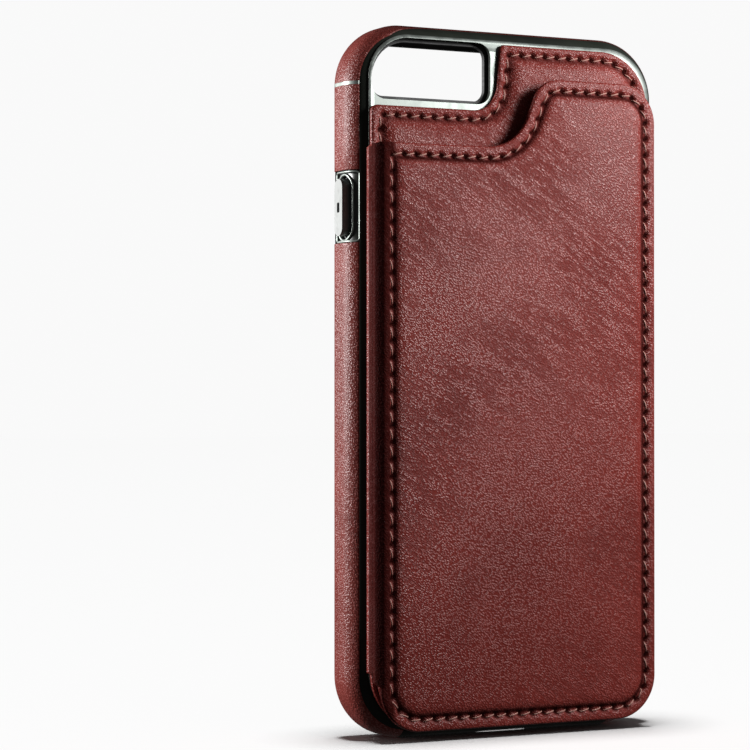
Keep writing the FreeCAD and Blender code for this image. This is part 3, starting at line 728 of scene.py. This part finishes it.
def pocket(node, stitched_sides):
    """Pocket wall with a turned and stitched top hem."""
    low, high = limits(node)
    front = low[1]
    outline = Outline([(low[0], low[2], 9.0), (high[0], low[2], 9.0), (high[0], high[2], 0.8),
                       (low[0], high[2], 0.8)], 0.5)
    hem_line = high[2] - HEM_DEPTH

    def level(x, z, y):
        """The hem is a little thicker than the wall below it, which is slightly uneven."""
        in_front = smooth(-y, -front - 0.1, -front)
        hem = smooth(z, hem_line - 0.35, hem_line)
        wave = 0.02 * ripple(x, z, 9.0, high[2])
        return y + in_front * (HEM_THICKNESS * (1 - hem) - wave * (1 - hem))

    face = [(inset, front) for inset in (0.45, 0.7, 1.0, 1.3, 1.6, 2.0, 2.6, 3.4)]
    panel = Panel(outline, thin_edge(high[1], front), face, level, spacing=0.8)
    hem_row = np.array([(x, high[2] - HEM_STITCH)
                        for x in np.arange(low[0] + 2.2, high[0] - 2.0, 0.3)])
    marks, holes = stitch_line(hem_row)
    if stitched_sides:
        # This row runs down the left side, round the foot and up the right side to the hem.
        ring = outline.ring(SIDE_STITCH)[0]
        start = int(np.argmax(ring[:, 1] + (ring[:, 0] < 0) * 500.0))
        ring = np.roll(ring, -start, axis=0)
        side_marks, side_holes = stitch_line(ring[ring[:, 1] < high[2] - 3.2])
        marks, holes = marks + side_marks, holes + side_holes
    # The stitch holes are pressed in and get painted shade.
    panel.press(holes, *POCKET_HOLE)
    piece = panel.piece(node + "_skin", "case")
    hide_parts(node)
    dress(piece, LEATHER)
    threads(node + "_thread", marks, THREAD_RADIUS * 0.9, front + 0.02, -1, "case")


pocket("cash_pocket", stitched_sides=False)
pocket("rear_card_pocket", stitched_sides=False)
pocket("front_card_pocket", stitched_sides=True)

# ------------------------------------------------------------------ lining

lining_back, lining_face = LINING_LOW[1] + 0.01, LINING_HIGH[1]
LINING_SHIFT = 0.55
LINING_STEP_Z = LINING_HIGH[2] - (FLAP_HIGH[2] - FLAP_STEP_Z)
lining_outline = Outline([
    (LINING_LOW[0], LINING_LOW[2], 8.2), (LINING_HIGH[0], LINING_LOW[2], 8.2),
    (LINING_HIGH[0], LINING_HIGH[2], 7.2), (STEP_RIGHT_X + LINING_SHIFT, LINING_HIGH[2], 5.2),
    (STEP_LEFT_X + LINING_SHIFT, LINING_STEP_Z, 10.8),
    (LINING_LOW[0], LINING_STEP_Z, 0.8)], 0.4)
lining_border = [
    (0.5, lining_face), (0.8, lining_face), (1.1, lining_face - 0.05),
    (1.35, lining_face - 0.12), (1.55, lining_face - 0.15), (1.75, lining_face - 0.12),
    (2.0, lining_face - 0.05), (2.4, lining_face - 0.01), (3.0, lining_face)]


def flat_level(x, z, y):
    """The lining lies flat on its board."""
    return y


lining = Panel(lining_outline, thin_edge(lining_back, lining_face), lining_border, flat_level)
lining_marks, lining_holes = stitch_line(lining_outline.closed(1.55))
# The stitch holes are pressed in and get painted shade.
lining.press(lining_holes, *LINING_HOLE)
lining_cover = lining.piece("lining_cover", "flap")
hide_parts("flap_lining")
dress(lining_cover, LINING)
threads("lining_thread", lining_marks, THREAD_RADIUS * 0.8, lining_face - 0.13, 1, "flap")

# ------------------------------------------------------------------ snaps


def turned_part(name, centre, profile, corners, body):
    """Round part on an axis along Y; profile is (radius, y) from its back to its middle."""
    verts, faces = [], []
    for radius, y in profile:
        for angle in np.linspace(0, 2 * math.pi, corners, endpoint=False):
            verts.append((centre[0] + radius * math.cos(angle), y,
                          centre[1] + radius * math.sin(angle)))
    for order in range(len(profile) - 1):
        faces += loop_faces(order * corners, (order + 1) * corners, corners)
    faces.append(tuple(range(corners)))
    last = (len(profile) - 1) * corners
    faces.append(tuple(range(last, last + corners)))
    return new_piece(name, verts, faces, body)


def snap(name, centre, back, face, body):
    """Turned snap cap with a rolled rim, a dished ring and a low dome in its middle."""
    step = face - back
    profile = [(3.1, back), (3.18, back + 0.15 * step), (3.18, back + 0.7 * step),
               (3.1, back + 0.9 * step), (2.95, face), (2.75, face), (2.6, back + 0.9 * step),
               (2.45, back + 0.82 * step), (2.1, back + 0.8 * step), (1.7, back + 0.84 * step),
               (1.5, back + 0.93 * step), (1.2, face), (0.8, face + 0.04 * step),
               (0.3, face + 0.06 * step)]
    piece = turned_part(name, centre, profile, 56, body)
    dress(piece, SNAP)
    return piece


POCKET_SNAP_LOW, POCKET_SNAP_HIGH = limits("pocket_snaps")
FLAP_SNAP_LOW, FLAP_SNAP_HIGH = limits("flap_snaps")
SNAP_RADIUS = (POCKET_SNAP_HIGH[0] - POCKET_SNAP_LOW[0]) / 2
SNAP_X = (POCKET_SNAP_HIGH[0] + POCKET_SNAP_LOW[0]) / 2
for order, height in enumerate((POCKET_SNAP_LOW[2] + SNAP_RADIUS,
                                POCKET_SNAP_HIGH[2] - SNAP_RADIUS)):
    stud = snap(f"pocket_snap_{order}", (SNAP_X, height), POCKET_SNAP_HIGH[1],
                POCKET_SNAP_LOW[1], "case")
    socket = snap(f"flap_snap_{order}", (SNAP_X, height), FLAP_SNAP_LOW[1],
                  FLAP_SNAP_HIGH[1], "flap")
    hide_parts("pocket_snaps")
    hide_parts("flap_snaps")

# ------------------------------------------------------------------ strips and hard parts


def node_mesh(node):
    """Bmesh copy of a CAD node in millimetres, welded."""
    work = bmesh.new()
    work.from_mesh(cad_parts[node].data)
    bmesh.ops.remove_doubles(work, verts=work.verts, dist=2e-6)
    return work


def round_edges(thing, name, width, segments):
    """Modifier that rounds the sharp edges of an object."""
    rounding = thing.modifiers.new(name, "BEVEL")
    rounding.width = width * MM
    rounding.segments = segments
    rounding.limit_method = "ANGLE"
    rounding.angle_limit = math.radians(40)


def soften(node, body, width, material):
    """Leather strip made from its CAD node, with rolled edges."""
    work = node_mesh(node)
    bmesh.ops.dissolve_limit(work, angle_limit=math.radians(1.0), verts=work.verts,
                             edges=work.edges)
    mesh = bpy.data.meshes.new(node + "_skin")
    work.to_mesh(mesh)
    work.free()
    mesh.shade_smooth()
    piece = bpy.data.objects.new(node + "_skin", mesh)
    bpy.context.scene.collection.objects.link(piece)
    round_edges(piece, "rolled_edge", width, 3)
    depsgraph = bpy.context.evaluated_depsgraph_get()
    baked = bpy.data.meshes.new_from_object(piece.evaluated_get(depsgraph))
    piece.modifiers.clear()
    piece.data = baked
    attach(piece, body)
    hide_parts(node)
    piece.data.materials.clear()
    dress(piece, material)


STRIP_ROUNDING = 0.2
soften("top_strip", "case", STRIP_ROUNDING, TOP_LEATHER)
for strip in ("power_strip_middle", "power_strip_lower", "volume_strip_lower"):
    soften(strip, "case", STRIP_ROUNDING, STRIP_LEATHER)


def finish_node(node, material, width):
    """Give a CAD node its material and a fine rounding along its sharp edges."""
    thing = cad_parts[node]
    thing.data.materials.clear()
    thing.data.materials.append(material)
    weld = thing.modifiers.new("weld", "WELD")
    weld.merge_threshold = 2e-6
    round_edges(thing, "rounding", width, 2)


for node, material, width in (
        ("outer_frame", FRAME_BLACK, 0.12), ("inner_tray", TRAY_BLACK, 0.12),
        ("bright_divider", TRIM, 0.1), ("power_plate", PLATE_GREY, 0.1),
        ("volume_plate", PLATE_GREY, 0.1), ("back_trim", TRIM, 0.1),
        ("power_button", KEY_GREY, 0.25), ("volume_rocker", KEY_GREY, 0.25)):
    finish_node(node, material, width)

# ------------------------------------------------------------------ bezels and key marks

# The case's side wall is flat from SIDE_START to SIDE_END in Y, and round on both sides of it.
SIDE_CENTRE, SIDE_ROUND, SIDE_START, SIDE_END = 31.15, 4.5, 2.3, 5.2
FRONT_CENTRE, FRONT_ROUND = 32.65, 3.0


def side_surface(y, offset):
    """Distance from X = 0 of the case's side wall at y, and the wall's normal there."""
    if y < SIDE_START:
        radius, centre, start = SIDE_ROUND + offset, SIDE_CENTRE, SIDE_START
    elif y > SIDE_END:
        radius, centre, start = FRONT_ROUND + offset, FRONT_CENTRE, SIDE_END
    else:
        return SIDE_CENTRE + SIDE_ROUND + offset, 1.0, 0.0
    across = (y - start) / radius
    out = math.sqrt(max(0.0, 1 - across * across))
    return centre + radius * out, out, across


def round_loop(low, high, radius, points):
    """Closed path of (y, z) points round a rectangle with rounded corners."""
    path = []
    corners = ((high[0], high[1], 0), (low[0], high[1], 1), (low[0], low[1], 2),
               (high[0], low[1], 3))
    for y, z, quarter in corners:
        centre_y = y - math.copysign(radius, y - (low[0] + high[0]) / 2)
        centre_z = z - math.copysign(radius, z - (low[1] + high[1]) / 2)
        for angle in np.linspace(quarter, quarter + 1, points) * math.pi / 2:
            path.append((centre_y + radius * math.cos(angle), centre_z + radius * math.sin(angle)))
    return path


def bead(name, side, path, offset, radius):
    """Round bead along a closed path on a side wall; side is -1 for the power button's."""
    spacing, corners = 0.6, 10
    dense = []
    for start, end in zip(path, path[1:] + path[:1]):
        steps = max(1, int(math.dist(start, end) / spacing))
        dense += [(start[0] + (end[0] - start[0]) * k / steps,
                   start[1] + (end[1] - start[1]) * k / steps) for k in range(steps)]
    verts, faces, places, count = [], [], [], len(dense)
    for y, z in dense:
        reach, out, across = side_surface(y, offset)
        places.append((Vector((side * reach, y, z)), Vector((side * out, across, 0))))
    for index, (place, normal) in enumerate(places):
        way = (places[(index + 1) % count][0] - places[index - 1][0]).normalized()
        cross = way.cross(normal).normalized()
        for angle in np.linspace(0, 2 * math.pi, corners, endpoint=False):
            verts.append(place + radius * (math.cos(angle) * normal + math.sin(angle) * cross))
    for ring in range(count):
        faces += loop_faces(ring * corners, (ring + 1) % count * corners, corners)
    piece = new_piece(name, [tuple(vert) for vert in verts], faces, "case")
    dress(piece, TRIM)


SLOT_GAP = 0.7
SLOT_MIDDLE_Y = 3.0
EDGE_BEAD_DEPTH, EDGE_BEAD_RADIUS, EDGE_BEAD_FRONT = -0.48, 0.26, 5.9
SLOT_BEAD_DEPTH, SLOT_BEAD_RADIUS = -0.72, 0.27


def side_bezel(name, side, plate_node, slots):
    """Bead round a sunk plate and one round each slot in it."""
    low, high = limits(plate_node)
    edge = round_loop((low[1] + 0.3, low[2] + 0.3), (EDGE_BEAD_FRONT, high[2] - 0.3), 0.5, 5)
    bead(name + "_edge", side, edge, EDGE_BEAD_DEPTH, EDGE_BEAD_RADIUS)
    for order, (low_z, high_z, half_width) in enumerate(slots):
        reach = half_width + 0.2
        path = round_loop((SLOT_MIDDLE_Y - reach, low_z - 0.2),
                          (SLOT_MIDDLE_Y + reach, high_z + 0.2), reach - 0.01, 10)
        bead(f"{name}_slot_{order}", side, path, SLOT_BEAD_DEPTH, SLOT_BEAD_RADIUS)


POWER_LOW, POWER_HIGH = limits("power_button")
ROCKER_LOW, ROCKER_HIGH = limits("volume_rocker")
KEY_HALF_WIDTH = (POWER_HIGH[1] - POWER_LOW[1]) / 2
MUTE_SLOT = (115.7, 125.8, 2.4)
side_bezel("power_bezel", -1, "power_plate", [
    (POWER_LOW[2] - SLOT_GAP, POWER_HIGH[2] + SLOT_GAP, KEY_HALF_WIDTH + SLOT_GAP)])
side_bezel("volume_bezel", 1, "volume_plate", [
    (ROCKER_LOW[2] - SLOT_GAP, ROCKER_HIGH[2] + SLOT_GAP, KEY_HALF_WIDTH + SLOT_GAP),
    MUTE_SLOT])


def raised_mark(name, outline, face, side, body):
    """Thin mark on a key's outer face: its outline is (y, z) points, and its rim is rounded."""
    count = len(outline)
    middle = np.mean(outline, axis=0)
    verts, faces = [], []
    for share, lift in ((1.0, -0.05), (1.0, 0.03), (0.93, 0.06), (0.5, 0.065)):
        for y, z in outline:
            verts.append((side * (face + lift), middle[0] + (y - middle[0]) * share,
                          middle[1] + (z - middle[1]) * share))
    for ring in range(3):
        faces += loop_faces(ring * count, (ring + 1) * count, count)
    faces.append(tuple(range(count)))
    faces.append(tuple(range(3 * count, 4 * count)))
    dress(new_piece(name, verts, faces, body), INK)


def bar_outline(centre, half_y, half_z):
    """Outline of a short bar with rounded corners."""
    radius = min(half_y, half_z) * 0.6
    return round_loop((centre[0] - half_y, centre[1] - half_z),
                      (centre[0] + half_y, centre[1] + half_z), radius, 4)


KEY_MIDDLE = ((POWER_LOW[1] + POWER_HIGH[1]) / 2, (POWER_LOW[2] + POWER_HIGH[2]) / 2)
LOBE_STEP = 4.3
UPPER_LOBE = (KEY_MIDDLE[0], ROCKER_HIGH[2] - LOBE_STEP)
LOWER_LOBE = (KEY_MIDDLE[0], ROCKER_LOW[2] + LOBE_STEP)
ROCKER_FACE = ROCKER_HIGH[0]
LONG, SHORT = 0.85, 0.2
raised_mark("power_mark", bar_outline(KEY_MIDDLE, 0.5, 1.0), -POWER_LOW[0], -1, "power_key")
# The plus is two bars, one a hair above the other so that their faces don't coincide.
for name, centre, half_y, half_z, lift in (
        ("volume_mark_up_0", UPPER_LOBE, LONG, SHORT, 0.0),
        ("volume_mark_up_1", UPPER_LOBE, SHORT, LONG, 0.002),
        ("volume_mark_down", LOWER_LOBE, LONG, SHORT, 0.0)):
    raised_mark(name, bar_outline(centre, half_y, half_z), ROCKER_FACE + lift, 1, "volume_key")

# ------------------------------------------------------------------ stage, light and camera

# The camera stands where it sees the case as the photograph's right-hand copy is seen.
CAMERA_YAW = 26.967
CAMERA_PITCH = 0.577
CAMERA_PLACE = Vector((-0.26132, -0.45521, 0.06734))
CAMERA_LENS = 123.21


def place_camera():
    """Camera at CAMERA_PLACE, turned by its yaw about Z and tipped up by its pitch."""
    yaw, pitch = math.radians(CAMERA_YAW), math.radians(CAMERA_PITCH)
    right = Vector((math.cos(yaw), -math.sin(yaw), 0))
    ahead = Vector((math.sin(yaw) * math.cos(pitch), math.cos(yaw) * math.cos(pitch),
                    math.sin(pitch)))
    up = right.cross(ahead)
    lens = bpy.data.cameras.new("camera")
    lens.lens = CAMERA_LENS
    lens.sensor_width = 36.0
    lens.clip_start = 0.01
    camera = bpy.data.objects.new("camera", lens)
    camera.matrix_world = Matrix((
        (right.x, up.x, -ahead.x, CAMERA_PLACE.x), (right.y, up.y, -ahead.y, CAMERA_PLACE.y),
        (right.z, up.z, -ahead.z, CAMERA_PLACE.z), (0, 0, 0, 1)))
    bpy.context.scene.collection.objects.link(camera)
    bpy.context.scene.camera = camera


def soft_box(name, place, target, width, height, power):
    """Rectangular area light that faces a point, lights all but the floor and isn't seen."""
    data = bpy.data.lights.new(name, "AREA")
    data.shape = "RECTANGLE"
    data.size = width
    data.size_y = height
    data.energy = power
    lamp = bpy.data.objects.new(name, data)
    lamp.location = place
    lamp.rotation_euler = (Vector(target) - Vector(place)).to_track_quat("-Z", "Y").to_euler()
    lamp.visible_camera = False
    lamp.light_linking.receiver_collection = bpy.data.collections["all_but_floor"]
    bpy.context.scene.collection.objects.link(lamp)


def build_floor():
    """Pale floor with a light of its own, so that the lamps on the object don't mark it."""
    bpy.ops.mesh.primitive_plane_add(size=8.0, location=(0, 0, 0))
    floor = bpy.context.object
    floor.name = "floor"
    floor.visible_diffuse = False
    floor.visible_glossy = False
    paint = Paint("floor_paint")
    paint.set(Base_Color=(0.93, 0.93, 0.93, 1))
    paint.shader.inputs["Roughness"].default_value = 0.7
    floor.data.materials.append(paint.material)
    sun = bpy.data.lights.new("floor_light", "SUN")
    sun.energy = 3.3
    sun.angle = math.radians(15)
    lamp = bpy.data.objects.new("floor_light", sun)
    bpy.context.scene.collection.objects.link(lamp)
    only_floor = bpy.data.collections.new("lit_floor")
    only_floor.objects.link(floor)
    lamp.light_linking.receiver_collection = only_floor
    all_but_floor = bpy.data.collections.new("all_but_floor")
    all_but_floor.objects.link(floor)
    all_but_floor.collection_objects[0].light_linking.link_state = "EXCLUDE"


def build_world():
    """White behind the object, and a dim even glow on it."""
    world = bpy.data.worlds.new("studio")
    bpy.context.scene.world = world
    world.use_nodes = True
    tree = world.node_tree
    tree.nodes.clear()
    output = tree.nodes.new("ShaderNodeOutputWorld")
    mix = tree.nodes.new("ShaderNodeMixShader")
    path = tree.nodes.new("ShaderNodeLightPath")
    tree.links.new(path.outputs["Is Camera Ray"], mix.inputs[0])
    for socket, strength in ((1, 0.07), (2, 0.95)):
        background = tree.nodes.new("ShaderNodeBackground")
        background.inputs["Color"].default_value = (1, 1, 1, 1)
        background.inputs["Strength"].default_value = strength
        tree.links.new(background.outputs[0], mix.inputs[socket])
    tree.links.new(mix.outputs[0], output.inputs[0])


build_floor()
build_world()
for name, place, target, width, height, power in (
        ("key", (0.125, -0.135, 0.174), (0.0, 0.0, 0.08), 0.08, 0.08, 0.70),
        ("front_card", (0.64, -0.62, 0.45), (0.0, 0.0, 0.13), 0.46, 0.5, 0.8),
        ("back_strip", (-0.35, 0.22, 0.17), (-0.035, 0.0, 0.10), 0.10, 0.12, 3.7)):
    soft_box(name, place, target, width, height, power)
place_camera()
bpy.context.scene.view_settings.view_transform = "Standard"
